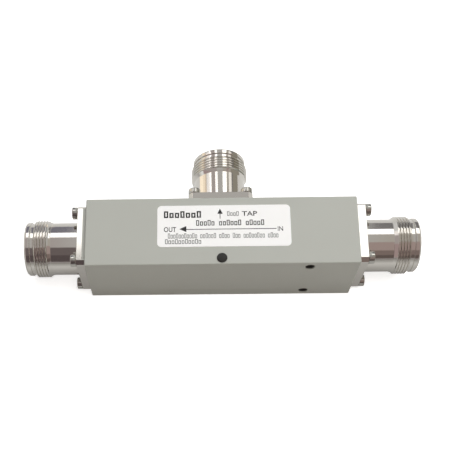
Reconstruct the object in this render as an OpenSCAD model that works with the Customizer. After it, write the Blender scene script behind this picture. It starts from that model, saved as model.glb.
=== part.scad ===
// Coaxial power tapper: a square bar with a through line and one tap port.
// A main line runs through the bar from the input jack to the output jack.
// A thin rod joins it in the middle and takes a small share to the tap jack.
// Origin: centre of the flat back face. +X to the input jack, +Y to the tap jack,
// +Z to the label face. Millimetres.

/* [Housing] */
// Length of the bar, end face to end face
body_l = 94; // [70:0.5:200]
// Width of the bar, side face to side face
body_w = 25.4; // [24:0.1:40]
// Height of the bar, back face to label face
body_h = 25.4; // [24:0.1:40]
// Chamfer along the outer edges of the bar
edge_chamfer = 0.4; // [0.1:0.1:0.8]
// Diameter of the channel that runs through the bar
channel_d = 14; // [12:0.1:15]
// Diameter of the bore from the tap face into the channel
tap_bore_d = 10; // [9:0.1:12]

/* [Fixing holes] */
// Diameter of the two fixing holes in the near side face
side_hole_d = 3.3; // [2.5:0.1:4]
// Depth of the fixing holes
side_hole_depth = 8; // [4:0.5:9]
// Distance between the two fixing holes
side_hole_pitch = 19; // [18:0.5:20]
// Distance of the fixing holes from the input end face
side_hole_inset = 17; // [12:0.5:30]

/* [Plug] */
// Diameter of the plug's head on the label face
plug_head_d = 3.6; // [3:0.1:3.8]
// Height of the plug's head
plug_head_h = 0.5; // [0.3:0.1:1]
// Diameter of the plug's shank
plug_shank_d = 2.4; // [1.6:0.1:2.8]
// Length of the plug's shank
plug_shank_l = 5; // [3:0.5:7]
// Distance of the plug from the near side face
plug_inset = 2.3; // [2.3:0.1:3]

/* [Label] */
// Length of the label along the bar
label_l = 45.8; // [20:0.1:60]
// Width of the label across the bar
label_w = 15.8; // [8:0.1:17]
// Thickness of the label
label_t = 0.15; // [0.05:0.05:0.3]
// Corner radius of the label
label_r = 1.5; // [0.5:0.1:3]
// Distance of the label from the far edge of the label face
label_inset = 3.1; // [1:0.1:4]
// Offset of the label's centre towards the input jack
label_shift = 0.8; // [-5:0.1:5]

/* [Jack flange] */
// Width and height of the square flange
flange_w = 22.5; // [22.5:0.1:24]
// Thickness of the flange
flange_t = 3.1; // [2.5:0.05:4]
// Chamfer of the flange's four corners
flange_corner = 1.3; // [0.5:0.1:1.5]
// Distance between the flange screws, across and up
screw_pitch = 18.3; // [17.8:0.1:18.3]

/* [Jack barrel] */
// Diameter of the plain neck next to the flange
neck_d = 18.3; // [17.5:0.1:18.6]
// Length of the neck
neck_l = 9.6; // [6:0.1:14]
// Length of the cone between the neck and the thread
cone_l = 1.2; // [0.8:0.1:2]
// Outer diameter of the coupling thread
thread_d = 20; // [19.5:0.1:21]
// Length of the coupling thread
thread_l = 4.8; // [3:0.1:6]
// Chamfer at the outer end of the thread
thread_chamfer = 0.5; // [0.3:0.1:0.7]
// Width of the groove between the thread and the lip
groove_w = 1.3; // [0.6:0.1:1.5]
// Diameter at the bottom of that groove
groove_d = 18; // [17.6:0.1:18.4]
// Diameter of the lip at the mouth
lip_d = 18.8; // [18.5:0.1:19.2]
// Length of the lip
lip_l = 2; // [1.5:0.1:5]
// Chamfer at the outer edge of the mouth
lip_chamfer = 0.6; // [0.2:0.1:0.8]

/* [Jack bore] */
// Diameter of the wide recess at the mouth
recess_d = 15.6; // [14:0.1:16]
// Depth of that recess
recess_depth = 4; // [3:0.1:5]
// Diameter of the bore that the mating outer contact enters
contact_bore_d = 11.6; // [10.8:0.1:12.4]
// Depth of that bore, measured from the mouth down to the insulator
contact_bore_depth = 12; // [9:0.1:13]
// Diameter of the air line behind the insulator
rear_bore_d = 10; // [9:0.1:10.6]

/* [Contacts and insulators] */
// Thickness of each jack's insulator
insulator_t = 3; // [2:0.1:4]
// Outer diameter of the socket contact
contact_d = 4.3; // [3.8:0.1:5]
// Depth of the contact's tip below the mouth
contact_tip_depth = 5.5; // [4.5:0.1:7]
// Diameter of the hole in the socket contact
socket_d = 2.2; // [1.6:0.1:2.4]
// Depth of the hole in the socket contact
socket_depth = 5; // [3:0.1:6]
// Width of the slots in the socket contact
slot_w = 0.4; // [0.2:0.1:0.6]
// Diameter of the contact where it passes through the insulator
collar_d = 3.4; // [2.8:0.1:3.6]
// Diameter of the contact's rear pin
contact_pin_d = 2.2; // [1.6:0.1:2.4]
// Length of the contact's rear pin
contact_pin_l = 5; // [3:0.1:6]

/* [Inner rods] */
// Diameter of the line rod in the channel
rod_d = 6.1; // [5.5:0.1:6.8]
// Diameter of the thick middle stretch of the line rod
rod_middle_d = 7.6; // [7:0.1:8.5]
// Length of the thick middle stretch
rod_middle_l = 38; // [20:0.5:50]
// Distance from the channel's end to the step in the rods
rod_step_inset = 1.2; // [0.5:0.1:3]
// Depth of the flat that the tap rod seats on
rod_flat_depth = 0.4; // [0.2:0.1:0.8]
// Length of that flat along the rod
rod_flat_l = 6; // [4:0.5:10]
// Diameter of the thin stretch of the tap rod
tap_rod_d = 3.2; // [2.8:0.1:4]
// Diameter of the tap rod's screwed end
stub_d = 2; // [1.6:0.1:2.4]
// Length of the tap rod's screwed end
stub_l = 5; // [3:0.1:6]
// Thickness of each support bead on the line rod
support_t = 3; // [2:0.1:5]

/* [Screws and seals] */
// Diameter of the flange screws
screw_d = 2.5; // [2:0.1:2.6]
// Length of the screw thread in the bar
screw_grip = 5.5; // [4:0.5:8]
// Diameter of the screw heads
screw_head_d = 4.2; // [3.8:0.1:4.4]
// Height of the screw heads
screw_head_h = 2; // [1.4:0.1:2.5]
// Width of the hexagon socket in the screw heads
screw_socket = 2; // [1.3:0.1:2]
// Diameter of the screw holes through the flange
screw_hole_d = 2.8; // [2.7:0.1:3]
// Mean diameter of the seal under the flange
seal_d = 17.4; // [17:0.1:17.8]
// Thickness of the seal's round cord
seal_cord = 1.3; // [1.1:0.05:1.4]
// Depth of the seal's groove in the flange
seal_groove_depth = 1; // [0.9:0.05:1.1]

/* [Hidden] */
// Radial clearance of pieces that are pushed together
push_clearance = 0.02;
// Radial clearance of beads in the bores that hold them
bead_clearance = 0.03;
// Room at the bottom of a blind hole
hole_end_gap = 0.4;
// Room on each side of the seal in its groove
seal_side_gap = 0.1;
// Chamfer at the mouth of bores and on small turned edges
small_chamfer = 0.3;
// Depth of the screws' hexagon sockets as a share of the head
socket_share = 0.6;
// Extra length that lets a cut run clear of a face
over = 1;
// Steps of a quarter circle in drawn corners
corner_steps = 8;
$fn = 96;

axis_z = body_h / 2;
jack_l = flange_t + neck_l + cone_l + thread_l + groove_w + lip_l;
insulator_s = jack_l - contact_bore_depth - insulator_t;
rod_half_l = body_l / 2 + insulator_s;
rod_flat_y = rod_middle_d / 2 - rod_flat_depth;

painted = "#b6b7b1";
plated = "#d6d4ce";
brass = "#c9a75c";
white_plastic = "#f1f0ea";
black_rubber = "#26262a";
steel = "#9a9a98";
black_plastic = "#1c1c1a";
label_white = "#f7f7f5";

// Places a jack's piece: its local +Z leaves the bar, its local z = 0 is the bar's face
module at_input() {
    translate([body_l / 2, 0, axis_z]) rotate([0, 90, 0]) children();
}

module at_output() {
    translate([-body_l / 2, 0, axis_z]) rotate([0, -90, 0]) children();
}

module at_tap() {
    translate([0, body_w / 2, axis_z]) rotate([-90, 0, 0]) children();
}

// The four screw positions of a flange
module at_flange_screws() {
    for (x = [-1, 1], y = [-1, 1])
        translate([x * screw_pitch / 2, y * screw_pitch / 2, 0]) children();
}

// Corner points of a rectangle with rounded corners
function rounded_rectangle(w, h, r) = [
    for (quarter = [0:3])
        let (
            sx = quarter == 0 || quarter == 3 ? 1 : -1,
            sy = quarter < 2 ? 1 : -1
        )
        for (step = [0:corner_steps])
            let (a = 90 * (quarter + step / corner_steps))
            [sx * (w / 2 - r) + r * cos(a), sy * (h / 2 - r) + r * sin(a)]
];

// Corner points of a rectangle with chamfered corners
function chamfered_rectangle(w, h, c) = [
    [w / 2 - c, -h / 2], [w / 2, -h / 2 + c], [w / 2, h / 2 - c], [w / 2 - c, h / 2],
    [-w / 2 + c, h / 2], [-w / 2, h / 2 - c], [-w / 2, -h / 2 + c], [-w / 2 + c, -h / 2]
];

// A bar with a chamfer along all twelve edges, standing on z = 0
module chamfered_bar(l, w, h, c) {
    translate([0, 0, h / 2]) intersection() {
        rotate([90, 0, 90]) linear_extrude(l, center = true) polygon(chamfered_rectangle(w, h, c));
        rotate([90, 0, 0]) linear_extrude(w, center = true) polygon(chamfered_rectangle(l, h, c));
        linear_extrude(h, center = true) polygon(chamfered_rectangle(l, w, c));
    }
}

// A hexagon socket that opens upwards at z = 0
module hexagon_socket(across, depth) {
    translate([0, 0, -depth]) cylinder(h = depth + over, d = across / cos(30), $fn = 6);
}

// The tapped holes for one jack, cut into the bar below z = 0
module flange_screw_holes() {
    at_flange_screws() translate([0, 0, -screw_grip - hole_end_gap])
        cylinder(h = screw_grip + hole_end_gap + over, r = screw_d / 2 + push_clearance);
}

module housing() {
    color(painted) difference() {
        chamfered_bar(body_l, body_w, body_h, edge_chamfer);
        translate([0, 0, axis_z]) rotate([0, 90, 0])
            cylinder(h = body_l + 2 * over, d = channel_d, center = true);
        at_tap() translate([0, 0, -body_w / 2]) cylinder(h = body_w / 2 + over, d = tap_bore_d);
        at_input() flange_screw_holes();
        at_output() flange_screw_holes();
        at_tap() flange_screw_holes();
        side_holes();
        plug_hole();
    }
}

// Two blind fixing holes in the near side face, one above the other
module side_holes() {
    for (z = [-1, 1])
        translate([body_l / 2 - side_hole_inset, -body_w / 2, axis_z + z * side_hole_pitch / 2])
            rotate([-90, 0, 0]) translate([0, 0, -over])
                cylinder(h = side_hole_depth + over, d = side_hole_d);
}

module at_plug() {
    translate([0, -body_w / 2 + plug_inset, body_h]) children();
}

// The blind hole that the plug closes
module plug_hole() {
    depth = plug_shank_l + hole_end_gap;
    at_plug() translate([0, 0, -depth])
        cylinder(h = depth + over, r = plug_shank_d / 2 + push_clearance);
}

// A pushed-in plug; its low head stands on the label face
module hole_plug() {
    r = plug_head_d / 2;
    tip_r = plug_shank_d / 2;
    c = small_chamfer;
    edge = plug_head_h / 2;
    color(black_plastic) at_plug() rotate_extrude() polygon([
        [0, -plug_shank_l], [tip_r - c, -plug_shank_l], [tip_r, -plug_shank_l + c], [tip_r, 0],
        [r, 0], [r, edge], [r - edge, plug_head_h], [0, plug_head_h]
    ]);
}

module label() {
    color(label_white)
        translate([label_shift, body_w / 2 - label_inset - label_w / 2, body_h])
            linear_extrude(label_t) polygon(rounded_rectangle(label_l, label_w, label_r));
}

// The turned outside of a barrel, from the flange's back face to the mouth
module barrel_outside() {
    neck_end = flange_t + neck_l;
    thread_start = neck_end + cone_l;
    thread_end = thread_start + thread_l;
    lip_start = thread_end + groove_w;
    rotate_extrude() polygon([
        [0, 0],
        [neck_d / 2, 0],
        [neck_d / 2, neck_end],
        [thread_d / 2, thread_start],
        [thread_d / 2, thread_end - thread_chamfer],
        [thread_d / 2 - thread_chamfer, thread_end],
        [groove_d / 2, thread_end],
        [groove_d / 2, lip_start],
        [lip_d / 2, lip_start],
        [lip_d / 2, jack_l - lip_chamfer],
        [lip_d / 2 - lip_chamfer, jack_l],
        [0, jack_l]
    ]);
}

// The stepped bore of a jack, cut from the flange's back face to the mouth
module barrel_bore() {
    recess_s = jack_l - recess_depth;
    rotate_extrude() polygon([
        [0, -over],
        [rear_bore_d / 2, -over],
        [rear_bore_d / 2, insulator_s],
        [contact_bore_d / 2, insulator_s],
        [contact_bore_d / 2, recess_s - small_chamfer],
        [contact_bore_d / 2 + small_chamfer, recess_s],
        [recess_d / 2, recess_s],
        [recess_d / 2, jack_l - small_chamfer],
        [recess_d / 2 + small_chamfer, jack_l],
        [recess_d / 2 + small_chamfer, jack_l + over],
        [0, jack_l + over]
    ]);
}

// The groove for the seal in the flange's back face
module seal_groove() {
    r = seal_cord / 2 + seal_side_gap;
    rotate_extrude() translate([seal_d / 2 - r, -over])
        square([2 * r, over + seal_groove_depth]);
}

module jack_shell() {
    color(plated) difference() {
        union() {
            linear_extrude(flange_t) polygon(chamfered_rectangle(flange_w, flange_w, flange_corner));
            barrel_outside();
        }
        barrel_bore();
        seal_groove();
        at_flange_screws() translate([0, 0, -over])
            cylinder(h = flange_t + 2 * over, d = screw_hole_d);
    }
}

// A cap screw: its head stands on the flange, its thread reaches into the bar
module flange_screw() {
    r = screw_head_d / 2;
    top = flange_t + screw_head_h;
    c = small_chamfer;
    difference() {
        rotate_extrude() polygon([
            [0, -screw_grip],
            [screw_d / 2 - c, -screw_grip],
            [screw_d / 2, -screw_grip + c],
            [screw_d / 2, flange_t],
            [r, flange_t],
            [r, top - c],
            [r - c, top],
            [0, top]
        ]);
        translate([0, 0, top]) hexagon_socket(screw_socket, screw_head_h * socket_share);
    }
}

module flange_screws() {
    color(steel) at_flange_screws() flange_screw();
}

// The socket contact: a slotted head, a collar in the insulator and a rear pin in the rod
module jack_contact() {
    head_s = insulator_s + insulator_t;
    tip = jack_l - contact_tip_depth;
    c = small_chamfer;
    color(brass) difference() {
        rotate_extrude() polygon([
            [0, insulator_s - contact_pin_l],
            [contact_pin_d / 2 - c, insulator_s - contact_pin_l],
            [contact_pin_d / 2, insulator_s - contact_pin_l + c],
            [contact_pin_d / 2, insulator_s],
            [collar_d / 2, insulator_s],
            [collar_d / 2, head_s],
            [contact_d / 2, head_s],
            [contact_d / 2, tip - c],
            [contact_d / 2 - c, tip],
            [socket_d / 2 + c, tip],
            [socket_d / 2, tip - c],
            [socket_d / 2, tip - socket_depth],
            [0, tip - socket_depth]
        ]);
        for (turn = [0, 90]) rotate([0, 0, turn])
            translate([-contact_d, -slot_w / 2, tip - socket_depth + slot_w])
                cube([2 * contact_d, slot_w, socket_depth]);
    }
}

// The bead between the shell and the contact's collar
module jack_insulator() {
    inner = collar_d / 2 + bead_clearance;
    outer = contact_bore_d / 2 - bead_clearance;
    color(white_plastic) translate([0, 0, insulator_s]) rotate_extrude()
        translate([inner, 0]) square([outer - inner, insulator_t]);
}

// The round cord of the seal, pressed flat against the bar and the groove
module jack_seal() {
    color(black_rubber) rotate_extrude() translate([seal_d / 2, 0]) intersection() {
        translate([0, seal_groove_depth / 2]) circle(d = seal_cord);
        translate([-seal_cord / 2, 0]) square([seal_cord, seal_groove_depth]);
    }
}

// The rod's end that takes a contact's rear pin: a blind hole that opens at z = 0
module pin_hole() {
    depth = contact_pin_l + hole_end_gap;
    translate([0, 0, -depth])
        cylinder(h = depth + over, r = contact_pin_d / 2 + push_clearance);
}

// The inner rod of the through line, stepped from the middle to both ends
module line_conductor() {
    step_x = body_l / 2 - rod_step_inset;
    stub_hole_r = stub_d / 2 + push_clearance;
    stub_hole_depth = stub_l + hole_end_gap;
    color(brass) translate([0, 0, axis_z]) difference() {
        rotate([0, 90, 0]) rotate_extrude() polygon([
            [0, -rod_half_l],
            [contact_d / 2, -rod_half_l],
            [contact_d / 2, -step_x],
            [rod_d / 2, -step_x],
            [rod_d / 2, -rod_middle_l / 2],
            [rod_middle_d / 2, -rod_middle_l / 2],
            [rod_middle_d / 2, rod_middle_l / 2],
            [rod_d / 2, rod_middle_l / 2],
            [rod_d / 2, step_x],
            [contact_d / 2, step_x],
            [contact_d / 2, rod_half_l],
            [0, rod_half_l]
        ]);
        for (turn = [0, 180]) rotate([0, 0, turn])
            translate([rod_half_l, 0, 0]) rotate([0, 90, 0]) pin_hole();
        translate([-rod_flat_l / 2, rod_flat_y, -rod_middle_d])
            cube([rod_flat_l, rod_middle_d, 2 * rod_middle_d]);
        translate([0, rod_flat_y + over, 0]) rotate([90, 0, 0])
            cylinder(h = stub_hole_depth + over, r = stub_hole_r);
    }
}

// The rod from the line to the tap jack, screwed into the line rod
module tap_conductor() {
    step_y = body_w / 2 - rod_step_inset;
    end_y = body_w / 2 + insulator_s;
    color(brass) translate([0, 0, axis_z]) rotate([-90, 0, 0]) difference() {
        rotate_extrude() polygon([
            [0, rod_flat_y - stub_l],
            [stub_d / 2, rod_flat_y - stub_l],
            [stub_d / 2, rod_flat_y],
            [tap_rod_d / 2, rod_flat_y],
            [tap_rod_d / 2, step_y],
            [contact_d / 2, step_y],
            [contact_d / 2, end_y],
            [0, end_y]
        ]);
        translate([0, 0, end_y]) pin_hole();
    }
}

// A bead on the line rod, against the shoulder of the thick middle stretch
module line_support(side) {
    inner = rod_d / 2 + bead_clearance;
    outer = channel_d / 2 - bead_clearance;
    color(white_plastic) translate([side * rod_middle_l / 2, 0, axis_z])
        rotate([0, 90 * side, 0]) rotate_extrude()
            translate([inner, 0]) square([outer - inner, support_t]);
}

housing();
label();
hole_plug();
at_input() jack_shell();  // input_shell
at_output() jack_shell();  // output_shell
at_tap() jack_shell();  // tap_shell
at_input() flange_screws();  // input_screws
at_output() flange_screws();  // output_screws
at_tap() flange_screws();  // tap_screws
at_input() jack_contact();  // input_contact
at_output() jack_contact();  // output_contact
at_tap() jack_contact();  // tap_contact
at_input() jack_insulator();  // input_insulator
at_output() jack_insulator();  // output_insulator
at_tap() jack_insulator();  // tap_insulator
at_input() jack_seal();  // input_seal
at_output() jack_seal();  // output_seal
at_tap() jack_seal();  // tap_seal
line_conductor();
tap_conductor();
line_support(1);  // input_support
line_support(-1);  // output_support
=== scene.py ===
import math
from collections import Counter

import bmesh
import bpy
from mathutils import Matrix, Vector


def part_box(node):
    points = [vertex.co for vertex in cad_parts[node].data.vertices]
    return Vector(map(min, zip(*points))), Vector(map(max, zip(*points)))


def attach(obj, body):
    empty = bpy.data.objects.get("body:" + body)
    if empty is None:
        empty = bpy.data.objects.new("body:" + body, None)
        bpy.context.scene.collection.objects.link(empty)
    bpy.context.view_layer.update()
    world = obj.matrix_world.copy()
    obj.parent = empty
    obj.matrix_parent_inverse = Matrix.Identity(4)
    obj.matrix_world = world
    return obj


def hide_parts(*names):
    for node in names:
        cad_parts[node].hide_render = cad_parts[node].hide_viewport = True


# Looks of a coaxial power tapper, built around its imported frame.
# Sizes are in millimetres and become metres where a mesh, material, lamp or the camera is made.
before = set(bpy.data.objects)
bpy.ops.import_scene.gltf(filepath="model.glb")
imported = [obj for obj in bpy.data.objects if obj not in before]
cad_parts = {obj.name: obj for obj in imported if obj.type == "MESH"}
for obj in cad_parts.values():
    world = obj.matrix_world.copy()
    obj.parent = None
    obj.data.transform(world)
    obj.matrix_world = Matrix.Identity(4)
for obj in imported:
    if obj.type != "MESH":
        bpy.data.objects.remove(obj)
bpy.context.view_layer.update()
MM = 0.001

# Sizes read from the frame
bar_low, bar_high = (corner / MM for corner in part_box("housing"))
label_low, label_high = (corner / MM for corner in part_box("label"))
plug_low, plug_high = (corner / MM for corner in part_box("hole_plug"))
shell_low, shell_high = (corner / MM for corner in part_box("input_shell"))
axis_z = (bar_low.z + bar_high.z) / 2
jack_l = shell_high.x - bar_high.x
flange_w = shell_high.y - shell_low.y

# How far a cutter reaches past the surface that it cuts
cut_past = 1

# Sizes of the bar and its holes
bar_edge_r = 0.4
channel_r = 7
tap_bore_r = 5
hole_mouth = 0.25
hole_side_gap = 0.02
hole_end_gap = 0.4
side_hole_x = 30
side_hole_pitch = 19
side_hole_r = 1.65
side_hole_depth = 8
side_hole_mouth = 0.1
side_hole_plain_l = 0.4
drill_point_l = 0.8
side_thread_pitch = 0.7
side_thread_depth = 0.3
side_thread_low_gap = 0.2
side_thread_high_gap = 0.5

# Sizes of the jacks
flange_t = 3.1
flange_corner = 1.3
flange_edge = 0.15
screw_pitch = 18.3
screw_hole_r = 1.4
screw_hole_mouth = 0.15
neck_r = 9.15
cone_l = 1.2
thread_r = 10
thread_l = 4.8
thread_pitch = 1
# Shallower than the full 0.61, so that stripes of light run on over the ridges as in the photograph
thread_depth = 0.5
thread_chamfer = 0.5
groove_l = 1.3
groove_r = 9
lip_r = 9.4
lip_l = 2
lip_edge_r = 0.6
recess_r = 7.8
recess_depth = 4
contact_bore_r = 5.8
contact_bore_depth = 12
rear_bore_r = 5
seal_groove_inner_r = 7.95
seal_groove_outer_r = 9.45
seal_groove_depth = 1
mouth_chamfer = 0.3
small_edge_r = 0.12
crept_paint_w = 1.2
crept_paint_t = 0.04

# Sizes of the contacts and the beads that hold them
contact_r = 2.15
contact_tip_depth = 5.5
contact_edge_r = 0.28
contact_pin_r = 1.1
contact_pin_l = 5
socket_r = 1.1
socket_depth = 5
socket_point_l = 0.5
socket_lead_w = 0.25
socket_lead_l = 0.4
slot_w = 0.4
collar_r = 1.7
bead_t = 3
bead_gap = 0.03
bead_edge = 0.15

# Sizes of the flange screws
screw_r = 1.25
screw_grip = 5.5
screw_tip_w = 0.3
screw_plain_l = 0.5
screw_thread_pitch = 0.45
screw_thread_depth = 0.25
screw_head_r = 2.1
screw_head_h = 2
screw_head_edge_r = 0.28
screw_head_flat_w = 0.15
screw_socket = 2
screw_socket_depth = 1.2
screw_socket_rim_w = 0.05
screw_socket_rim_l = 0.1
screw_socket_point_l = 0.35

# Sizes of the plug
plug_shank_r = 1.2
plug_taper_w = 0.1
plug_taper_l = 0.5
plug_soft_r = 0.1
plug_under_edge = 0.05
plug_rim_share = 0.45
plug_edge_r = 0.15
plug_dome_inset = 0.3
plug_dome_rise = 0.1

# Sizes of the label and its print, with heights above the label's underside
label_size = label_high - label_low
label_corner_r = 1.5
film_t = 0.13
film_edge = 0.03
ink_bottom = film_t - 0.005
ink_top = 0.145

# The photograph's camera, found from the bar's edges: its place, the point it aims at, roll and lens
camera_place = Vector((-11.05, -136.09, 279.06))
camera_aim = Vector((-18.556, -54.217, 12.7))
camera_roll = math.radians(-5.37)
camera_lens = 65.80
camera_sensor = 36
camera_shift = (0.1261, 0.3725)


def colour(code):
    """The linear colour of an sRGB hex code"""
    channels = [int(code[i:i + 2], 16) / 255 for i in (1, 3, 5)]
    linear = [c / 12.92 if c <= 0.04045 else ((c + 0.055) / 1.055) ** 2.4 for c in channels]
    return (*linear, 1)


def add_node(material, kind, settings=None, inputs=None):
    """Adds a node, sets its options, and gives each input a value or the socket that feeds it"""
    node = material.node_tree.nodes.new(kind)
    for name, value in (settings or {}).items():
        setattr(node, name, value)
    for name, value in (inputs or {}).items():
        if isinstance(value, bpy.types.NodeSocket):
            material.node_tree.links.new(value, node.inputs[name])
        else:
            node.inputs[name].default_value = value
    return node


def empty_material(name):
    """A new material with no nodes yet"""
    material = bpy.data.materials.new(name)
    material.use_nodes = True
    material.node_tree.nodes.clear()
    return material


def show(material, shader):
    """Sends a shader to the material's output"""
    add_node(material, "ShaderNodeOutputMaterial", inputs={"Surface": shader.outputs[0]})
    return material


# Materials, whose patterns have a width (w) and a height (h) in millimetres

def sprayed_paint():
    """Light grey enamel sprayed on a machined aluminium bar: satin, with a faint orange peel"""
    cloud_w = 16
    peel_w = 0.9
    peel_h = 0.006
    grain_w = 0.12
    grain_h = 0.0012
    material = empty_material("sprayed_paint")
    place = add_node(material, "ShaderNodeTexCoord").outputs["Object"]
    cloud = add_node(material, "ShaderNodeTexNoise", inputs={
        "Vector": place, "Scale": 1 / (cloud_w * MM), "Detail": 2.0})
    tone = add_node(material, "ShaderNodeMapRange", inputs={
        "Value": cloud.outputs["Fac"], "To Min": 0.975, "To Max": 1.025})
    base = add_node(material, "ShaderNodeHueSaturation", inputs={
        "Color": colour("#B5B7AF"), "Value": tone.outputs[0]})
    peel = add_node(material, "ShaderNodeTexNoise", inputs={
        "Vector": place, "Scale": 1 / (peel_w * MM), "Detail": 1.0})
    peel_bump = add_node(material, "ShaderNodeBump", inputs={
        "Height": peel.outputs["Fac"], "Distance": peel_h * MM})
    grain = add_node(material, "ShaderNodeTexNoise", inputs={
        "Vector": place, "Scale": 1 / (grain_w * MM), "Detail": 2.0})
    grain_bump = add_node(material, "ShaderNodeBump", inputs={
        "Height": grain.outputs["Fac"], "Distance": grain_h * MM,
        "Normal": peel_bump.outputs[0]})
    satin = add_node(material, "ShaderNodeMapRange", inputs={
        "Value": grain.outputs["Fac"], "To Min": 0.40, "To Max": 0.52})
    return show(material, add_node(material, "ShaderNodeBsdfPrincipled", inputs={
        "Base Color": base.outputs[0], "Roughness": satin.outputs[0],
        "IOR": 1.5, "Normal": grain_bump.outputs[0]}))


def turned_metal(name, base, roughness, ring_w, ring_h, axis="Z"):
    """Metal from a lathe: fine rings around the axis stretch each reflection a little along it.
    The rings are drawn wider than a tool's real feed, so that they show"""
    cloud_w = 3
    material = empty_material(name)
    place = add_node(material, "ShaderNodeTexCoord").outputs["Object"]
    along = add_node(material, "ShaderNodeSeparateXYZ", inputs={"Vector": place}).outputs[axis]
    rings = add_node(material, "ShaderNodeTexNoise", {"noise_dimensions": "1D"}, {
        "W": along, "Scale": 1 / (ring_w * MM), "Detail": 2.0})
    bump = add_node(material, "ShaderNodeBump", inputs={
        "Height": rings.outputs["Fac"], "Distance": ring_h * MM})
    cloud = add_node(material, "ShaderNodeTexNoise", inputs={
        "Vector": place, "Scale": 1 / (cloud_w * MM), "Detail": 3.0})
    gloss = add_node(material, "ShaderNodeMapRange", inputs={
        "Value": cloud.outputs["Fac"], "To Min": roughness * 0.8, "To Max": roughness * 1.2})
    return show(material, add_node(material, "ShaderNodeBsdfPrincipled", inputs={
        "Base Color": colour(base), "Metallic": 1.0, "Roughness": gloss.outputs[0],
        "Normal": bump.outputs[0]}))


def white_bronze_plating():
    """White bronze plated on turned brass: nearly a mirror, and a little warmer than chrome"""
    return turned_metal("white_bronze_plating", "#D8D5CF", roughness=0.10,
                        ring_w=0.15, ring_h=0.0004)


def stainless_steel():
    """Turned stainless cap screws: darker and duller than the plating under them"""
    return turned_metal("stainless_steel", "#BCBBB5", roughness=0.14,
                        ring_w=0.12, ring_h=0.0005)


def silver_plating():
    """Silver plated on the slotted socket contacts: pale, with soft turning rings"""
    return turned_metal("silver_plating", "#E2DED4", roughness=0.16,
                        ring_w=0.15, ring_h=0.0006)


def bored_aluminium():
    """Bare aluminium in bores and tapped holes: tool rings, in a colour much darker than bare
    aluminium, so that the holes look dark
    """
    return turned_metal("bored_aluminium", "#82827F", roughness=0.38,
                        ring_w=0.3, ring_h=0.003, axis="X")


def turned_brass(axis):
    """Bare brass of the inner rods: yellow and satin, with turning rings along the rod"""
    return turned_metal("turned_brass_" + axis.lower(), "#CDAE68", roughness=0.24,
                        ring_w=0.2, ring_h=0.001, axis=axis)


def moulded_polyamide():
    """Black polyamide of the moulded plug: satin, with the faint grain of its mould"""
    grain_w = 0.15
    grain_h = 0.004
    material = empty_material("moulded_polyamide")
    place = add_node(material, "ShaderNodeTexCoord").outputs["Object"]
    grain = add_node(material, "ShaderNodeTexNoise", inputs={
        "Vector": place, "Scale": 1 / (grain_w * MM), "Detail": 3.0})
    tone = add_node(material, "ShaderNodeMix", {"data_type": "RGBA"}, {
        0: grain.outputs["Fac"], 6: colour("#121210"), 7: colour("#1F1F1C")})
    bump = add_node(material, "ShaderNodeBump", inputs={
        "Height": grain.outputs["Fac"], "Distance": grain_h * MM})
    return show(material, add_node(material, "ShaderNodeBsdfPrincipled", inputs={
        "Base Color": tone.outputs[2], "Roughness": 0.42, "IOR": 1.53,
        "Normal": bump.outputs[0]}))


def turned_fluoropolymer():
    """White fluoropolymer turned from rod: waxy, and light goes a little way in"""
    cut_w = 0.25
    cut_h = 0.003
    light_depth = 0.5
    material = empty_material("turned_fluoropolymer")
    place = add_node(material, "ShaderNodeTexCoord").outputs["Object"]
    cut = add_node(material, "ShaderNodeTexNoise", inputs={
        "Vector": place, "Scale": 1 / (cut_w * MM), "Detail": 2.0})
    bump = add_node(material, "ShaderNodeBump", inputs={
        "Height": cut.outputs["Fac"], "Distance": cut_h * MM})
    return show(material, add_node(material, "ShaderNodeBsdfPrincipled", inputs={
        "Base Color": colour("#EFEFE8"), "Roughness": 0.45, "IOR": 1.35,
        "Subsurface Weight": 0.15, "Subsurface Scale": light_depth * MM,
        "Normal": bump.outputs[0]}))


def silicone_rubber():
    """Moulded black silicone of the seals: matt, with a fine bloom"""
    bloom_w = 0.6
    material = empty_material("silicone_rubber")
    place = add_node(material, "ShaderNodeTexCoord").outputs["Object"]
    bloom = add_node(material, "ShaderNodeTexNoise", inputs={
        "Vector": place, "Scale": 1 / (bloom_w * MM), "Detail": 3.0})
    tone = add_node(material, "ShaderNodeMix", {"data_type": "RGBA"}, {
        0: bloom.outputs["Fac"], 6: colour("#19191B"), 7: colour("#2B2B2E")})
    return show(material, add_node(material, "ShaderNodeBsdfPrincipled", inputs={
        "Base Color": tone.outputs[2], "Roughness": 0.62, "IOR": 1.41}))


def polyester_film():
    """White polyester label film: smooth, with very shallow waves from the glue under it"""
    wave_w = 5
    wave_h = 0.01
    material = empty_material("polyester_film")
    place = add_node(material, "ShaderNodeTexCoord").outputs["Object"]
    waves = add_node(material, "ShaderNodeTexNoise", inputs={
        "Vector": place, "Scale": 1 / (wave_w * MM), "Detail": 1.0})
    bump = add_node(material, "ShaderNodeBump", inputs={
        "Height": waves.outputs["Fac"], "Distance": wave_h * MM})
    return show(material, add_node(material, "ShaderNodeBsdfPrincipled", inputs={
        "Base Color": colour("#FEFEFC"), "Roughness": 0.38, "IOR": 1.5,
        "Normal": bump.outputs[0]}))


def printed_ink(name, code):
    """Resin ink from a label printer: flat, with tiny paler and darker specks"""
    speck_w = 0.1
    material = empty_material(name)
    place = add_node(material, "ShaderNodeTexCoord").outputs["Object"]
    specks = add_node(material, "ShaderNodeTexNoise", inputs={
        "Vector": place, "Scale": 1 / (speck_w * MM), "Detail": 1.0})
    tone = add_node(material, "ShaderNodeMapRange", inputs={
        "Value": specks.outputs["Fac"], "To Min": 0.8, "To Max": 1.2})
    base = add_node(material, "ShaderNodeHueSaturation", inputs={
        "Color": colour(code), "Value": tone.outputs[0]})
    return show(material, add_node(material, "ShaderNodeBsdfPrincipled", inputs={
        "Base Color": base.outputs[0], "Roughness": 0.5}))


# Building blocks for meshes

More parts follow.
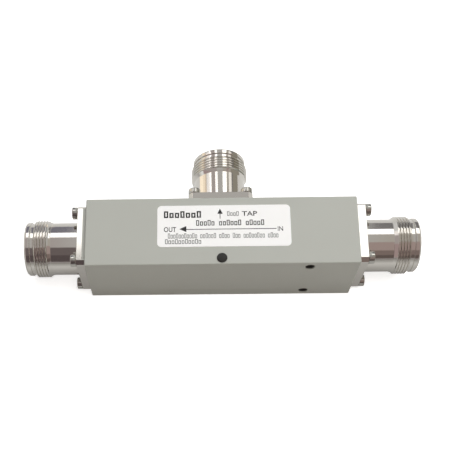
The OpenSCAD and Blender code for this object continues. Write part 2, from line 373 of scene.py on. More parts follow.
def new_piece(name, bm, place, *materials):
    """Makes an object from mesh data in millimetres and puts it in its place"""
    bmesh.ops.recalc_face_normals(bm, faces=bm.faces)
    bmesh.ops.scale(bm, vec=(MM, MM, MM), verts=bm.verts)
    mesh = bpy.data.meshes.new(name)
    bm.to_mesh(mesh)
    bm.free()
    piece = bpy.data.objects.new(name, mesh)
    bpy.context.scene.collection.objects.link(piece)
    piece.matrix_world = place
    set_materials(piece, *materials)
    return piece


def set_materials(piece, *materials):
    """Gives a piece these materials and no others"""
    piece.data.materials.clear()
    for material in materials:
        piece.data.materials.append(material)


def smooth_faces(piece, sharp_angle=32):
    """Smooth shading that stays flat on flat faces and breaks at real edges"""
    piece.data.shade_smooth()
    piece.data.set_sharp_from_angle(angle=math.radians(sharp_angle))
    weighted = piece.modifiers.new("flat_faces", "WEIGHTED_NORMAL")
    weighted.keep_sharp = True


def block(size, edge_r=0, segments=1):
    """Mesh data of a block around its own middle, with round edges where a radius is given"""
    bm = bmesh.new()
    bmesh.ops.create_cube(bm, size=1, matrix=Matrix.Diagonal((*size, 1)))
    if edge_r:
        bmesh.ops.bevel(bm, geom=bm.edges[:], offset=edge_r, segments=segments, profile=0.5,
                        affect="EDGES")
    return bm


def revolve(bm, rows, steps, centre=(0, 0), closed=False):
    """Joins rings of points around Z; a row is (radius, height), and a radius may follow the angle"""
    rings = []
    for radius, height in rows:
        if radius == 0:
            rings.append([bm.verts.new((*centre, height))] * steps)
            continue
        ring = []
        for step in range(steps):
            angle = math.tau * step / steps
            r = radius(angle) if callable(radius) else radius
            ring.append(bm.verts.new((
                centre[0] + r * math.cos(angle), centre[1] + r * math.sin(angle), height)))
        rings.append(ring)
    if closed:
        rings.append(rings[0])
    for lower, upper in zip(rings, rings[1:]):
        for step in range(steps):
            after = (step + 1) % steps
            corners = dict.fromkeys((lower[step], lower[after], upper[after], upper[step]))
            bm.faces.new(list(corners))


def soften(points, radius, steps=4):
    """Rounds the inner corners of an outline of (radius, height) points"""
    largest_share = 0.45
    softened = [points[0]]
    for before, corner, after in zip(points, points[1:], points[2:]):
        corner = Vector(corner)
        back = Vector(before) - corner
        onward = Vector(after) - corner
        reach = min(radius, largest_share * back.length, largest_share * onward.length)
        start = corner + reach * back.normalized()
        end = corner + reach * onward.normalized()
        for step in range(steps + 1):
            t = step / steps
            softened.append(tuple((1 - t) ** 2 * start + 2 * t * (1 - t) * corner + t ** 2 * end))
    return softened + [points[-1]]


def thread_rows(low, high, pitch, outer_r, depth, limit=None, rows_per_pitch=16):
    """Rows of a right-handed thread; limit may give the largest radius at each height"""
    # The flat shares of the pitch on the crests and in the roots
    crest_share = 0.25
    root_share = 0.28

    def radius_at(height):
        def radius(angle):
            away = abs(2 * ((height / pitch - angle / math.tau) % 1) - 1)
            slope = (away - crest_share) / (1 - crest_share - root_share)
            ridge = outer_r - depth * min(1, max(0, slope))
            return min(ridge, limit(height)) if limit else ridge
        return radius

    count = max(2, round((high - low) / pitch * rows_per_pitch))
    heights = [low + (high - low) * i / count for i in range(count + 1)]
    return [(radius_at(height), height) for height in heights]


def hexagon(across):
    """The radius by angle of a hexagon with this size across its flats"""
    def radius(angle):
        return across / 2 / math.cos((angle + math.pi / 6) % (math.pi / 3) - math.pi / 6)
    return radius


def rounded_rectangle(width, height, corner, steps=8):
    """Points around a rectangle with round corners"""
    points = []
    for quarter, (x_side, y_side) in enumerate(((1, 1), (-1, 1), (-1, -1), (1, -1))):
        for step in range(steps + 1):
            angle = math.pi / 2 * (quarter + step / steps)
            points.append((
                x_side * (width / 2 - corner) + corner * math.cos(angle),
                y_side * (height / 2 - corner) + corner * math.sin(angle)))
    return points


def chamfered_square(width, cut, edge_r=small_edge_r, steps=3):
    """Points around a square with its corners cut off and the cuts' edges slightly rounded"""
    half = width / 2
    points = []
    for quarter in range(4):
        turn = Matrix.Rotation(math.pi / 2 * quarter, 2)
        for corner, before, after in (((half, half - cut), (0, -1), (-1, 1)),
                                      ((half - cut, half), (1, -1), (-1, 0))):
            corner = Vector(corner)
            start = corner + edge_r * Vector(before).normalized()
            end = corner + edge_r * Vector(after).normalized()
            for step in range(steps + 1):
                t = step / steps
                points.append(turn @ (
                    (1 - t) ** 2 * start + 2 * t * (1 - t) * corner + t ** 2 * end))
    return points


def soft_slab(outline_at, thickness, edge, edge_steps):
    """Mesh data of a plate on height 0 with rounded rims; outline_at gives its outline by inset"""
    bm = bmesh.new()
    angles = [math.pi / 2 * i / edge_steps for i in range(edge_steps + 1)]
    rim = [(edge * (1 - math.sin(angle)), edge * (1 - math.cos(angle))) for angle in angles]
    rows = rim + [(inset, thickness - rise) for inset, rise in reversed(rim)]
    rings = [[bm.verts.new((x, y, level)) for x, y in outline_at(inset)] for inset, level in rows]
    for lower, upper in zip(rings, rings[1:]):
        for i in range(len(lower)):
            after = (i + 1) % len(lower)
            bm.faces.new((lower[i], lower[after], upper[after], upper[i]))
    bm.faces.new(rings[0])
    bm.faces.new(rings[-1])
    return bm


def solid(place, rows, steps, centres=((0, 0),), closed=False):
    """A scratch object to add or cut away: the given outline turned around each centre"""
    bm = bmesh.new()
    for centre in centres:
        revolve(bm, rows, steps, centre, closed)
    return new_piece("cutter", bm, place)


def combine(piece, tool, operation):
    """Adds or takes away a scratch object, which is then removed"""
    modifier = piece.modifiers.new("combine", "BOOLEAN")
    modifier.operation = operation
    modifier.solver = "MANIFOLD"
    modifier.object = tool
    bpy.context.view_layer.update()
    evaluated = piece.evaluated_get(bpy.context.evaluated_depsgraph_get())
    result = bpy.data.meshes.new_from_object(evaluated)
    piece.modifiers.clear()
    piece.data = result
    bpy.data.objects.remove(tool)


def turned_place(origin, angle=0, axis="X"):
    """The place at a point, turned by some degrees around an axis"""
    return Matrix.Translation(Vector(origin) * MM) @ Matrix.Rotation(math.radians(angle), 4, axis)


# Places of the jacks and the plug: local Z leaves the bar and local height 0 is the bar's face
jack_places = {
    "input": turned_place((bar_high.x, 0, axis_z), 90, "Y"),
    "output": turned_place((bar_low.x, 0, axis_z), -90, "Y"),
    "tap": turned_place((0, bar_high.y, axis_z), -90, "X"),
}
screw_spots = [(x * screw_pitch / 2, y * screw_pitch / 2) for x in (-1, 1) for y in (-1, 1)]
bead_low = jack_l - contact_bore_depth - bead_t
bead_high = bead_low + bead_t
plug_middle = (plug_low + plug_high) / 2
plug_place = turned_place((plug_middle.x, plug_middle.y, bar_high.z))

# Place of the label and its print, on the label's underside
label_middle = (label_low + label_high) / 2
label_place = turned_place((label_middle.x, label_middle.y, label_low.z))


# Pieces

def channel_rows(length):
    """The channel through the bar, with a small chamfer at both ends"""
    half = length / 2
    mouth_r = channel_r + hole_mouth
    return soften([
        (0, -half - cut_past), (mouth_r, -half - cut_past), (mouth_r, -half),
        (channel_r, -half + hole_mouth), (channel_r, half - hole_mouth), (mouth_r, half),
        (mouth_r, half + cut_past), (0, half + cut_past)], small_edge_r)


def hole_rows(radius, bottom):
    """A straight hole in one of the bar's faces, with a small chamfer at its mouth"""
    mouth_r = radius + hole_mouth
    return [(0, bottom), (radius, bottom), (radius, -hole_mouth), (mouth_r, 0),
            (mouth_r, cut_past), (0, cut_past)]


def side_hole_rows():
    """A tapped fixing hole: the drill's point, the thread, a plain start and a chamfer"""
    floor = -side_hole_depth
    mouth_r = side_hole_r + side_hole_mouth
    rows = [(0, floor - drill_point_l), (side_hole_r, floor)]
    rows += thread_rows(floor + side_thread_low_gap, -side_thread_high_gap, side_thread_pitch,
                        side_hole_r + side_thread_depth, side_thread_depth, rows_per_pitch=12)
    rows += [(side_hole_r, -side_hole_plain_l), (side_hole_r, -side_hole_mouth), (mouth_r, 0),
             (mouth_r, cut_past), (0, cut_past)]
    return rows


def bar(paint):
    """The painted bar with its channel, tap bore, screw holes, plug hole and fixing holes"""
    size = bar_high - bar_low
    piece = new_piece("painted_bar", block(size, bar_edge_r, segments=4),
                      turned_place((bar_low + bar_high) / 2))
    along = turned_place((0, 0, axis_z), 90, "Y")
    combine(piece, solid(along, channel_rows(size.x), steps=96), "DIFFERENCE")
    tap_bore = soften(hole_rows(tap_bore_r, -size.y / 2), small_edge_r)
    combine(piece, solid(jack_places["tap"], tap_bore, steps=96), "DIFFERENCE")
    screw_hole = hole_rows(screw_r + hole_side_gap, -screw_grip - hole_end_gap)
    for place in jack_places.values():
        combine(piece, solid(place, screw_hole, steps=32, centres=screw_spots), "DIFFERENCE")
    plug_hole = hole_rows(plug_shank_r + hole_side_gap, plug_low.z - bar_high.z - hole_end_gap)
    combine(piece, solid(plug_place, plug_hole, steps=48), "DIFFERENCE")
    side_place = turned_place((side_hole_x, bar_low.y, axis_z), 90, "X")
    side_spots = [(0, -side_hole_pitch / 2), (0, side_hole_pitch / 2)]
    side_holes = solid(side_place, side_hole_rows(), steps=48, centres=side_spots)
    combine(piece, side_holes, "DIFFERENCE")
    paint_outside(piece, paint)
    smooth_faces(piece)
    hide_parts("housing")
    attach(piece, "root")


def paint_outside(piece, paint):
    """Paint on the outer faces, bare metal in the bores and holes that were masked or cut later"""
    # A face is bare where its middle lies deeper than this below the bar's outer faces
    skin = 0.35
    set_materials(piece, paint, bored_aluminium())
    for face in piece.data.polygons:
        centre = piece.matrix_world @ face.center / MM
        inside = all(low + skin < at < high - skin
                     for low, at, high in zip(bar_low, centre, bar_high))
        face.material_index = 1 if inside else 0


def barrel_rows():
    """The turned outside of a jack, from inside its flange: neck, cone, thread, groove and lip"""
    root = 1
    lip_low = jack_l - lip_l
    thread_high = lip_low - groove_l
    thread_low = thread_high - thread_l
    neck_high = thread_low - cone_l

    def limit(height):
        into_end = height - (thread_high - thread_chamfer)
        from_start = height - neck_high
        return min(thread_r, thread_r - into_end, neck_r + from_start * (thread_r - neck_r) / cone_l)

    start = soften([(neck_r, root), (neck_r, neck_high), (thread_r, thread_low)], small_edge_r)
    thread = thread_rows(thread_low, thread_high, thread_pitch, thread_r, thread_depth, limit)
    end = soften([(groove_r, thread_high), (groove_r, lip_low), (lip_r, lip_low),
                  (lip_r, jack_l - lip_edge_r), (lip_r - lip_edge_r, jack_l), (0, jack_l)],
                 small_edge_r)
    return [(0, root)] + start[:-1] + thread + end


def bore_rows():
    """The stepped bore of a jack, from below the flange to past the mouth"""
    recess_low = jack_l - recess_depth
    mouth_r = recess_r + mouth_chamfer
    return soften([
        (0, -cut_past), (rear_bore_r, -cut_past), (rear_bore_r, bead_low),
        (contact_bore_r, bead_low), (contact_bore_r, recess_low - mouth_chamfer),
        (contact_bore_r + mouth_chamfer, recess_low), (recess_r, recess_low),
        (recess_r, jack_l - mouth_chamfer), (mouth_r, jack_l), (mouth_r, jack_l + cut_past),
        (0, jack_l + cut_past)], small_edge_r)


def flange_outline(inset):
    """The flange's square with its corners cut, moved in by the inset"""
    # So that a cut's slope moves in as far as the sides do, the cut shrinks by this share
    corner = flange_corner - (2 - math.sqrt(2)) * inset
    return chamfered_square(flange_w - 2 * inset, corner)


def jack_shell(side, plating):
    """A jack's square flange and threaded barrel, in one piece"""
    place = jack_places[side]
    flange = soft_slab(flange_outline, flange_t, flange_edge, edge_steps=1)
    piece = new_piece(side + "_jack_shell", flange, place, plating)
    combine(piece, solid(place, barrel_rows(), steps=160), "UNION")
    combine(piece, solid(place, bore_rows(), steps=128), "DIFFERENCE")
    groove = [(seal_groove_inner_r, -cut_past), (seal_groove_outer_r, -cut_past),
              (seal_groove_outer_r, seal_groove_depth), (seal_groove_inner_r, seal_groove_depth)]
    combine(piece, solid(place, groove, steps=96, closed=True), "DIFFERENCE")
    mouth_r = screw_hole_r + screw_hole_mouth
    hole = [(0, -cut_past), (screw_hole_r, -cut_past), (screw_hole_r, flange_t - screw_hole_mouth),
            (mouth_r, flange_t), (mouth_r, flange_t + cut_past), (0, flange_t + cut_past)]
    combine(piece, solid(place, hole, steps=40, centres=screw_spots), "DIFFERENCE")
    set_materials(piece, plating)
    smooth_faces(piece)
    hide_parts(side + "_shell")
    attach(piece, "root")


def crept_paint(paint):
    """The strip of the bar's paint that has crept onto the top of the output flange"""
    edge_r = crept_paint_t * 0.4
    size = (crept_paint_w, flange_w - 2 * flange_corner, crept_paint_t)
    place = turned_place((bar_low.x - crept_paint_w / 2, 0, axis_z + flange_w / 2))
    piece = new_piece("crept_paint", block(size, edge_r, segments=2), place, paint)
    smooth_faces(piece)
    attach(piece, "root")


def cap_screws(side, steel):
    """Four cap screws with hexagon sockets, their threads in the bar"""
    top = flange_t + screw_head_h
    floor = top - screw_socket_depth
    socket = hexagon(screw_socket)
    socket_corner_r = screw_socket / math.sqrt(3)
    tip_r = screw_r - screw_tip_w

    def tip_limit(height):
        return min(screw_r, tip_r + (height + screw_grip))

    thread = thread_rows(-screw_grip, -screw_plain_l, screw_thread_pitch, screw_r,
                         screw_thread_depth, tip_limit, rows_per_pitch=8)
    head = soften([(screw_r, 0), (screw_r, flange_t), (screw_head_r, flange_t),
                   (screw_head_r, top), (socket_corner_r + screw_head_flat_w, top)],
                  screw_head_edge_r)
    drive = [(socket_corner_r + screw_socket_rim_w, top), (socket, top - screw_socket_rim_l),
             (socket, floor), (0, floor - screw_socket_point_l)]
    rows = [(0, -screw_grip), (tip_r, -screw_grip)] + thread + head + drive
    bm = bmesh.new()
    for spot in screw_spots:
        revolve(bm, rows, 48, spot)
    piece = new_piece(side + "_cap_screws", bm, jack_places[side], steel)
    smooth_faces(piece)
    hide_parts(side + "_screws")
    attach(piece, "root")


def hole_plug():
    """The black plug in the label face, with a low domed head"""
    head_r = (plug_high.x - plug_low.x) / 2
    head_h = plug_high.z - bar_high.z
    bottom = plug_low.z - bar_high.z
    rim_h = head_h * plug_rim_share
    dome_r = head_r - plug_dome_inset
    dome_h = head_h - rim_h - plug_dome_rise
    rows = soften([(0, bottom), (plug_shank_r - plug_taper_w, bottom),
                   (plug_shank_r, bottom + plug_taper_l), (plug_shank_r, 0),
                   (head_r - plug_under_edge, 0)], plug_soft_r)
    rows += soften([(head_r, plug_under_edge), (head_r, rim_h), (dome_r, rim_h + plug_dome_rise)],
                   plug_edge_r)
    dome_steps = 6
    for step in range(1, dome_steps + 1):
        out = 1 - step / dome_steps
        rows.append((dome_r * out, head_h - dome_h * out ** 2))
    bm = bmesh.new()
    revolve(bm, rows, 64)
    piece = new_piece("hole_plug_black", bm, plug_place, moulded_polyamide())
    smooth_faces(piece)
    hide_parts("hole_plug")
    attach(piece, "root")


def socket_contact(side, silver):
    """The slotted socket in the middle of a jack"""
    place = jack_places[side]
    pin_low = bead_low - contact_pin_l
    tip = jack_l - contact_tip_depth
    floor = tip - socket_depth
    rows = soften([
        (0, pin_low), (contact_pin_r, pin_low), (contact_pin_r, bead_low), (collar_r, bead_low),
        (collar_r, bead_high), (contact_r, bead_high), (contact_r, tip),
        (socket_r + socket_lead_w, tip), (socket_r, tip - socket_lead_l), (socket_r, floor),
        (0, floor - socket_point_l)], contact_edge_r)
    bm = bmesh.new()
    revolve(bm, rows, 64)
    piece = new_piece(side + "_socket_contact", bm, place, silver)
    slot = (2 * contact_r + cut_past, slot_w, socket_depth)
    slot_middle = Matrix.Translation((0, 0, (floor + slot_w + socket_depth / 2) * MM))
    for turn in (0, 90):
        slot_place = place @ Matrix.Rotation(math.radians(turn), 4, "Z") @ slot_middle
        combine(piece, new_piece("cutter", block(slot), slot_place), "DIFFERENCE")
    set_materials(piece, silver)
    smooth_faces(piece)
    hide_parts(side + "_contact")
    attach(piece, "root")


def insulating_bead(side, plastic):
    """The white bead that holds the socket contact in the middle of the bore"""
    inner = collar_r + bead_gap
    outer = contact_bore_r - bead_gap
    rows = [(inner, bead_low + bead_edge), (inner + bead_edge, bead_low),
            (outer - bead_edge, bead_low), (outer, bead_low + bead_edge),
            (outer, bead_high - bead_edge), (outer - bead_edge, bead_high),
            (inner + bead_edge, bead_high), (inner, bead_high - bead_edge)]
    bm = bmesh.new()
    revolve(bm, rows, 96, closed=True)
    piece = new_piece(side + "_insulating_bead", bm, jack_places[side], plastic)
    smooth_faces(piece)
    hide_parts(side + "_insulator")
    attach(piece, "root")


# Label

def film_outline(inset):
    """The label's outline with round corners, moved in by the inset"""
    return rounded_rectangle(
        label_size.x - 2 * inset, label_size.y - 2 * inset, label_corner_r - inset)


def label_sheet():
    """The white label film, stuck on the bar"""
    film = soft_slab(film_outline, film_t, film_edge, edge_steps=3)
    piece = new_piece("label_sheet", film, label_place, polyester_film())
    smooth_faces(piece)
    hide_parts("label")
    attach(piece, "root")


def ink_block(bm, outline):
    """A thin flat printed shape, slightly sunk into the film"""
    low = [bm.verts.new((x, y, ink_bottom)) for x, y in outline]
    high = [bm.verts.new((x, y, ink_top)) for x, y in outline]
    bm.faces.new(low)
    bm.faces.new(high)
    for i in range(len(low)):
        after = (i + 1) % len(low)
        bm.faces.new((low[i], low[after], high[after], high[i]))


def ink_bar(bm, left, right, middle, height):
    """A printed bar between two ends"""
    ink_block(bm, [(left, middle - height / 2), (right, middle - height / 2),
                   (right, middle + height / 2), (left, middle + height / 2)])


def ink_box(bm, left, right, low, high, stroke):
    """A thin printed box, empty inside"""
    rings = []
    for inset in (0, stroke):
        outline = ((left + inset, low + inset), (right - inset, low + inset),
                   (right - inset, high - inset), (left + inset, high - inset))
        for level in (ink_bottom, ink_top):
            rings.append([bm.verts.new((x, y, level)) for x, y in outline])
    outer_low, outer_high, inner_low, inner_high = rings
    for one, other in ((outer_low, outer_high), (outer_high, inner_high),
                       (inner_high, inner_low), (inner_low, outer_low)):
        for i in range(4):
            after = (i + 1) % 4
            bm.faces.new((one[i], one[after], other[after], other[i]))


def ink_box_row(bm, groups, left, right, middle, height, stroke):
    """A row of plain boxes in groups, each third box taller; groups gives the boxes in each"""
    low_share = 0.76
    box_share = 0.78
    cell = (right - left) / (sum(groups) + len(groups) - 1)
    base = middle - height / 2
    spot = left
    for group, count in enumerate(groups):
        for box in range(count):
            tall = height * (low_share if (box + group) % 3 else 1)
            ink_box(bm, spot, spot + cell * box_share, base, base + tall, stroke)
            spot += cell
        spot += cell


def ink_letters(bm, word, left, right, middle, height, thicker):
    """A short plain word in the built-in letters, fitted between two ends"""
    capital_share = 0.7
    curve = bpy.data.curves.new("letters", "FONT")
    curve.body = word
    curve.size = height / capital_share
    curve.offset = thicker
    holder = bpy.data.objects.new("letters", curve)
    bpy.context.scene.collection.objects.link(holder)
    bpy.context.view_layer.update()
    mesh = bpy.data.meshes.new_from_object(
        holder.evaluated_get(bpy.context.evaluated_depsgraph_get()))
    bpy.data.objects.remove(holder)
    start = min(vert.co.x for vert in mesh.vertices)
    end = max(vert.co.x for vert in mesh.vertices)
    fit = Matrix.Diagonal(((right - left) / (end - start), 1, 1, 1))
    mesh.transform(Matrix.Translation((left, middle - height / 2, 0)) @ fit
                   @ Matrix.Translation((-start, 0, 0)))
    low, high = ([bm.verts.new((vert.co.x, vert.co.y, level)) for vert in mesh.vertices]
                 for level in (ink_bottom, ink_top))
    faces = []
    for polygon in mesh.polygons:
        faces.append(bm.faces.new([low[i] for i in polygon.vertices]))
        faces.append(bm.faces.new([high[i] for i in polygon.vertices]))
    # An edge of only one face is on the letter's outline and gets a wall
    uses = Counter(edge for polygon in mesh.polygons for edge in polygon.edge_keys)
    for (one, other), count in uses.items():
        if count == 1:
            faces.append(bm.faces.new((low[one], low[other], high[other], high[one])))
    # Shaded smooth, as the built-in letters are
    for face in faces:
        face.smooth = True


def label_print():
    """Arrows, port names and rows of plain boxes, placed from the label's middle"""
    bm = bmesh.new()
    # The head and stem of the arrow to the tap jack, then of the arrow from input to output
    ink_block(bm, [(-1.25, 6.6), (-2.15, 4.6), (-0.35, 4.6)])
    ink_bar(bm, left=-1.37, right=-1.13, middle=3.65, height=1.9)
    ink_block(bm, [(-15.3, -1.15), (-12.9, -2.3), (-12.9, 0.0)])
    ink_bar(bm, left=-13.0, right=18.0, middle=-1.3, height=0.26)
    ink_box_row(bm, [7], left=-20.6, right=-7.4, middle=4.45, height=2.6, stroke=0.5)
    ink_box_row(bm, [5, 6, 5], left=-9.5, right=14.1, middle=1.15, height=2.1, stroke=0.3)
    ink_letters(bm, "TAP", left=6.3, right=11.5, middle=4.6, height=1.75, thicker=0.03)
    ink_letters(bm, "IN", left=18.4, right=20.2, middle=-1.35, height=1.7, thicker=0.02)
    ink_letters(bm, "OUT", left=-20.6, right=-16.4, middle=-1.25, height=1.8, thicker=0.03)
    piece = new_piece("label_print", bm, label_place, printed_ink("black_ink", "#232323"))
    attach(piece, "root")
    bm = bmesh.new()
    ink_box_row(bm, [4], left=1.2, right=5.4, middle=4.6, height=1.7, stroke=0.22)
    ink_box_row(bm, [11, 6, 4, 3, 8, 4], left=-19.2, right=18.7, middle=-3.75, height=1.9,
                stroke=0.2)
    ink_box_row(bm, [11], left=-20.2, right=-7.6, middle=-5.9, height=1.8, stroke=0.24)
    piece = new_piece("label_small_print", bm, label_place, printed_ink("grey_ink", "#6A6C69"))
    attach(piece, "root")


# Stage

def stage_object(name, bm, material):
    """Something around the object that isn't part of it"""
    piece = new_piece(name, bm, Matrix.Identity(4), material)
    return piece


def pale_floor():
    """A pale table top: white to the camera, apart from the object's soft shadow. Metal sees it
    through a painted reflection: a darker grey with a painted glow, lowest in front of the bar as a
    painted shade
    """
    floor_r = 3000
    floor_gap = 0.02
    shadow_r = 90
    white_r = 200
    camera_glow = 0.72
    # Painted reflection: the glow that metal sees on the floor, by distance from the bar's middle,
    # positive behind it. Its low levels in front of the bar are a painted shade
    ramp_reach = 400
    painted_reflection_levels = {-300: 0.0, -80: 0.16, -55: 0.31, -45: 0.33, -34: 0.27, -27: 0.24,
                  -22.5: 0.18, -16: 0.17, 0: 0.17, 30: 0.48, 100: 0.4, 390: 0.4}
    material = empty_material("pale_floor")
    rays = add_node(material, "ShaderNodeLightPath")
    camera_ray = rays.outputs["Is Camera Ray"]
    glossy_ray = rays.outputs["Is Glossy Ray"]
    place = add_node(material, "ShaderNodeTexCoord").outputs["Object"]
    away = add_node(material, "ShaderNodeVectorMath", {"operation": "LENGTH"}, {"Vector": place})
    fade = add_node(material, "ShaderNodeMapRange", {"interpolation_type": "SMOOTHSTEP"}, {
        "Value": away.outputs["Value"], "From Min": shadow_r * MM, "From Max": white_r * MM})
    to_white = add_node(material, "ShaderNodeMath", {"operation": "MULTIPLY"}, {
        0: fade.outputs[0], 1: camera_ray})
    # Metal sees the floor in a darker grey than the camera does: a painted reflection
    tone = add_node(material, "ShaderNodeMix", {"data_type": "RGBA"}, {
        0: glossy_ray, 6: colour("#F4F4F2"), 7: colour("#A8A7A4")})
    matt = add_node(material, "ShaderNodeBsdfDiffuse", inputs={"Color": tone.outputs[2]})
    behind = add_node(material, "ShaderNodeSeparateXYZ", inputs={"Vector": place}).outputs["Y"]
    across = add_node(material, "ShaderNodeMapRange", inputs={
        "Value": behind, "From Min": -ramp_reach * MM, "From Max": ramp_reach * MM})
    painted_reflection_ramp = add_node(material, "ShaderNodeValToRGB", inputs={"Fac": across.outputs[0]})
    # Of the two stops that a new ramp has, the black one stays
    stops = painted_reflection_ramp.color_ramp.elements
    stops.remove(stops[-1])
    for y, level in painted_reflection_levels.items():
        stop = stops.new((y + ramp_reach) / (2 * ramp_reach))
        stop.color = (level, level, level, 1)
    camera_lift = add_node(material, "ShaderNodeMath", {"operation": "MULTIPLY"}, {
        0: camera_ray, 1: camera_glow})
    lift = add_node(material, "ShaderNodeMath", {"operation": "MULTIPLY_ADD"}, {
        0: glossy_ray, 1: painted_reflection_ramp.outputs[0], 2: camera_lift.outputs[0]})
    glow = add_node(material, "ShaderNodeEmission", inputs={"Strength": lift.outputs[0]})
    lit = add_node(material, "ShaderNodeAddShader", inputs={
        0: matt.outputs[0], 1: glow.outputs[0]})
    white = add_node(material, "ShaderNodeEmission")
    show(material, add_node(material, "ShaderNodeMixShader", inputs={
        0: to_white.outputs[0], 1: lit.outputs[0], 2: white.outputs[0]}))
    bm = bmesh.new()
    bmesh.ops.create_circle(bm, cap_ends=True, radius=floor_r, segments=64,
                            matrix=Matrix.Translation((0, 0, -floor_gap)))
    stage_object("floor", bm, material)


def reflected_card(name, bm, code, strength=1.0):
    """A plain card that only reflections show: the camera and diffuse light don't meet it"""
    material = empty_material(name)
    show(material, add_node(material, "ShaderNodeEmission", inputs={
        "Color": colour(code), "Strength": strength}))
    card = stage_object(name, bm, material)
    card.visible_camera = False
    card.visible_diffuse = False
    card.visible_transmission = False
    card.visible_volume_scatter = False
    card.visible_shadow = False


def curved_card(name, code, first, last, distance, left, right):
    """A card bent round the bar between two angles from straight up, positive on the near side"""
    bm = bmesh.new()
    steps = 24
    rows = []
    for step in range(steps + 1):
        angle = math.radians(first + (last - first) * step / steps)
        y = -math.sin(angle) * distance
        z = axis_z + math.cos(angle) * distance
        rows.append([bm.verts.new((x, y, z)) for x in (left, right)])
    for one, other in zip(rows, rows[1:]):
        bm.faces.new((one[0], one[1], other[1], other[0]))
    reflected_card(name, bm, code)


def end_card(name, code, x, low, high, strength=1.0, near=-1500, far=1500):
    """A flat card that stands across the bar's direction, from one height and depth to another"""
    bm = bmesh.new()
    corners = [(x, near, low), (x, far, low), (x, far, high), (x, near, high)]
    bm.faces.new([bm.verts.new(corner) for corner in corners])
    reflected_card(name, bm, code, strength)


def area_lamp(name, place, aim, width, height, radiance, glossy, tint=(1, 1, 1)):
    """A soft lamp; its power follows from how bright its surface is"""
    lamp = bpy.data.lights.new(name, "AREA")
    lamp.shape = "RECTANGLE"
    lamp.size = width * MM
    lamp.size_y = height * MM
    lamp.energy = radiance * math.pi * lamp.size * lamp.size_y
    lamp.color = tint
    holder = bpy.data.objects.new(name, lamp)
    bpy.context.scene.collection.objects.link(holder)
    place = Vector(place)
    toward = (Vector(aim) - place).to_track_quat("-Z", "Y")
    holder.matrix_world = Matrix.Translation(place * MM) @ toward.to_matrix().to_4x4()
    holder.visible_glossy = glossy
    holder.visible_camera = False


def far_lamp(name, left, right, low, high, radiance):
    """A strip lamp up on the far side, which metal shows as a white stripe.
    Its ends are shares of its distance, and it stands between two angles from straight up"""
    distance = 1200
    middle = math.radians((low + high) / 2)
    x = (left + right) / 2 * distance
    place = (x, math.sin(middle) * distance, axis_z + math.cos(middle) * distance)
    height = 2 * distance * math.tan(math.radians((high - low) / 2))
    area_lamp(name, place, (x, 0, axis_z), (right - left) * distance, height, radiance,
              glossy=True)


def studio():
    """The floor, the cards and strip lamps that the plated metal shows, and two lamps for the paint"""
    pale_floor()
    card_r = 1400
    ceiling_r = 1500
    wide = 3000
    curved_card("far_card_left_end", "#E6E6E6", -100, -49, card_r, -wide, -600)
    curved_card("far_card_left", "#82808D", -100, -49, card_r, -600, -235)
    curved_card("far_card_middle", "#D6D6D4", -100, -49, card_r, -235, 345)
    curved_card("far_card_right", "#838183", -100, -49, card_r, 345, wide)
    curved_card("ceiling_card_left", "#B7AFAD", -49, 20, ceiling_r, -wide, -280)
    curved_card("ceiling_card_middle", "#C3C1BF", -49, 20, ceiling_r, -280, 390)
    curved_card("ceiling_card_right", "#BDB7AF", -49, 12, ceiling_r, 390, wide)
    curved_card("rosy_card_right", "#B09E9A", 12, 48, card_r, 0, wide)
    curved_card("brown_card_left", "#746A6A", 20, 54, card_r, -600, 0)
    curved_card("brown_card_right", "#897975", 48, 69, card_r, 0, 900)
    curved_card("dark_card_left", "#5F5556", 54, 85, card_r, -600, 0)
    curved_card("dark_card_right", "#6B5F5B", 69, 85, card_r, 0, 900)
    curved_card("near_card_left_end", "#B19C9B", 20, 85, card_r, -wide, -600)
    curved_card("near_card_right_end", "#B19C9B", 48, 85, card_r, 900, wide)
    curved_card("low_card", "#A9A3A2", 85, 90.5, card_r, -wide, wide)
    end_x = 1600
    end_card("left_high_card", "#F6E2CE", -end_x, low=600, high=1500, near=940)
    end_card("left_card", "#FFEED6", -end_x, low=250, high=600, strength=1.2, near=900)
    end_card("left_foot_card", "#E4E4DF", -end_x, low=0, high=250)
    end_card("tap_side_card", "#FFF0DA", -70, low=5, high=30, strength=1.4, near=53, far=66)
    end_card("right_card", "#9E998E", end_x, low=0, high=1500)
    far_lamp("far_lamp_0", -1.15, -0.75, 24, 49.5, radiance=0.72)
    far_lamp("far_lamp_1", -0.75, -0.615, 24, 49.5, radiance=1.65)
    far_lamp("far_lamp_2", -0.29, -0.145, 26.5, 49.5, radiance=1.6)
    far_lamp("far_lamp_3", 0.21, 0.495, 24, 50, radiance=1.6)
    far_lamp("far_lamp_4", 0.70, 1.0, 22.5, 50, radiance=0.68)
    bar_middle = (0, 0, axis_z)
    area_lamp("top_lamp", (450, 200, 1300), bar_middle, 1600, 1600, radiance=2.37, glossy=False)
    area_lamp("near_fill", (0, -1150, 800), bar_middle, 1400, 900, radiance=0.42, glossy=False,
              tint=(1, 0.63, 0.45))


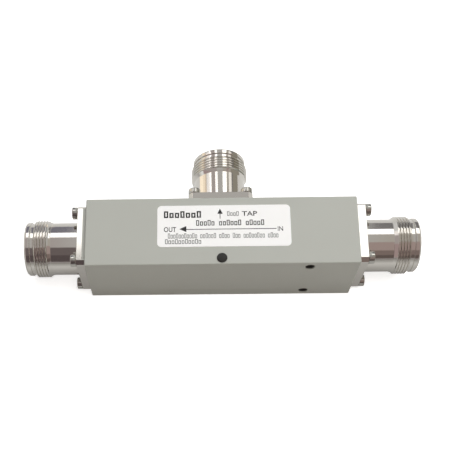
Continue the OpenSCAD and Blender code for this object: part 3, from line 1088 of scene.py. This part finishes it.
def white_world(ambient):
    """White to the camera and in metal; a weak even light otherwise"""
    world = bpy.data.worlds.new("world")
    bpy.context.scene.world = world
    world.use_nodes = True
    world.node_tree.nodes.clear()
    rays = add_node(world, "ShaderNodeLightPath")
    seen = add_node(world, "ShaderNodeMath", {"operation": "MAXIMUM"}, {
        0: rays.outputs["Is Camera Ray"], 1: rays.outputs["Is Glossy Ray"]})
    seen = add_node(world, "ShaderNodeMath", {"operation": "MAXIMUM"}, {
        0: seen.outputs[0], 1: rays.outputs["Is Transmission Ray"]})
    dim = add_node(world, "ShaderNodeBackground", inputs={"Strength": ambient})
    white = add_node(world, "ShaderNodeBackground", inputs={"Color": (1, 1, 1, 1), "Strength": 1.0})
    mixed = add_node(world, "ShaderNodeMixShader", inputs={
        0: seen.outputs[0], 1: dim.outputs[0], 2: white.outputs[0]})
    add_node(world, "ShaderNodeOutputWorld", inputs={"Surface": mixed.outputs[0]})


def camera():
    """The photograph's camera"""
    data = bpy.data.cameras.new("camera")
    data.lens = camera_lens
    data.sensor_width = camera_sensor
    data.shift_x, data.shift_y = camera_shift
    data.clip_start = 10 * MM
    holder = bpy.data.objects.new("camera", data)
    bpy.context.scene.collection.objects.link(holder)
    toward = (camera_aim - camera_place).to_track_quat("-Z", "Y").to_matrix().to_4x4()
    roll = Matrix.Rotation(camera_roll, 4, "Z")
    holder.matrix_world = Matrix.Translation(camera_place * MM) @ toward @ roll
    bpy.context.scene.camera = holder


def finish_frame_nodes(plastic, rubber):
    """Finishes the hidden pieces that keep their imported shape"""
    finishes = {
        "line_conductor": turned_brass("X"),
        "tap_conductor": turned_brass("Y"),
        "input_support": plastic,
        "output_support": plastic,
        "input_seal": rubber,
        "output_seal": rubber,
        "tap_seal": rubber,
    }
    for name, material in finishes.items():
        set_materials(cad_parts[name], material)


camera()
paint = sprayed_paint()
plating = white_bronze_plating()
steel = stainless_steel()
silver = silver_plating()
plastic = turned_fluoropolymer()
rubber = silicone_rubber()
bar(paint)
for side in jack_places:
    jack_shell(side, plating)
    cap_screws(side, steel)
    socket_contact(side, silver)
    insulating_bead(side, plastic)
crept_paint(paint)
hole_plug()
label_sheet()
label_print()
finish_frame_nodes(plastic, rubber)
white_world(ambient=0.15)
studio()
bpy.context.scene.view_settings.view_transform = "Standard"
